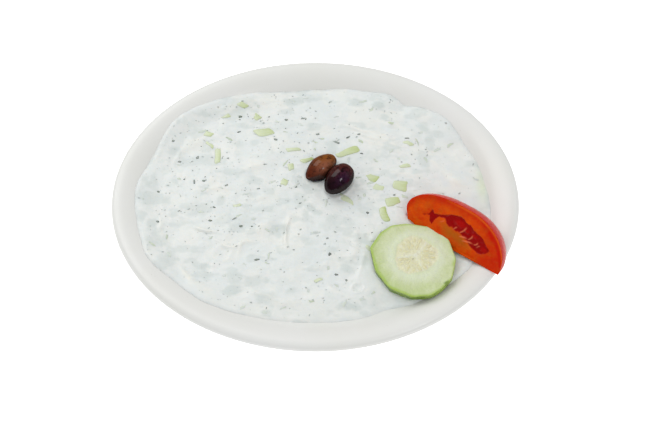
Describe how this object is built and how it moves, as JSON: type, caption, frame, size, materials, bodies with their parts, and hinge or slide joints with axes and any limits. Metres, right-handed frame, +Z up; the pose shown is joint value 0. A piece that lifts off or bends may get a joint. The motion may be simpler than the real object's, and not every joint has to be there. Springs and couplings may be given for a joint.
{
  "type": "bowl of tzatziki dip",
  "caption": "Oval white dish filled with tzatziki, with a cucumber slice, a tomato wedge and olives lying on the dip.",
  "frame": {"origin": "centre of the flat foot that the dish stands on, under the middle of the bounding box", "axes": "+X along the dish's length, towards the end where the tomato lies; +Y across it, away from the person served; +Z up"},
  "size_m": [0.24, 0.1932, 0.055],
  "materials": {
    "dish_glaze": "smooth gloss glaze",
    "tzatziki": "creamy, moist, satin",
    "cucumber": "moist cut flesh",
    "tomato": "moist cut flesh and glossy skin",
    "olive_brown": "glossy skin",
    "olive_dark": "glossy skin"
  },
  "bodies": {
    "root": {"dish": "dish_glaze", "dip": "tzatziki", "cucumber_slice": "cucumber", "tomato_wedge": "tomato", "olive_1": "olive_brown", "olive_2": "olive_dark"}
  },
  "joints": []
}
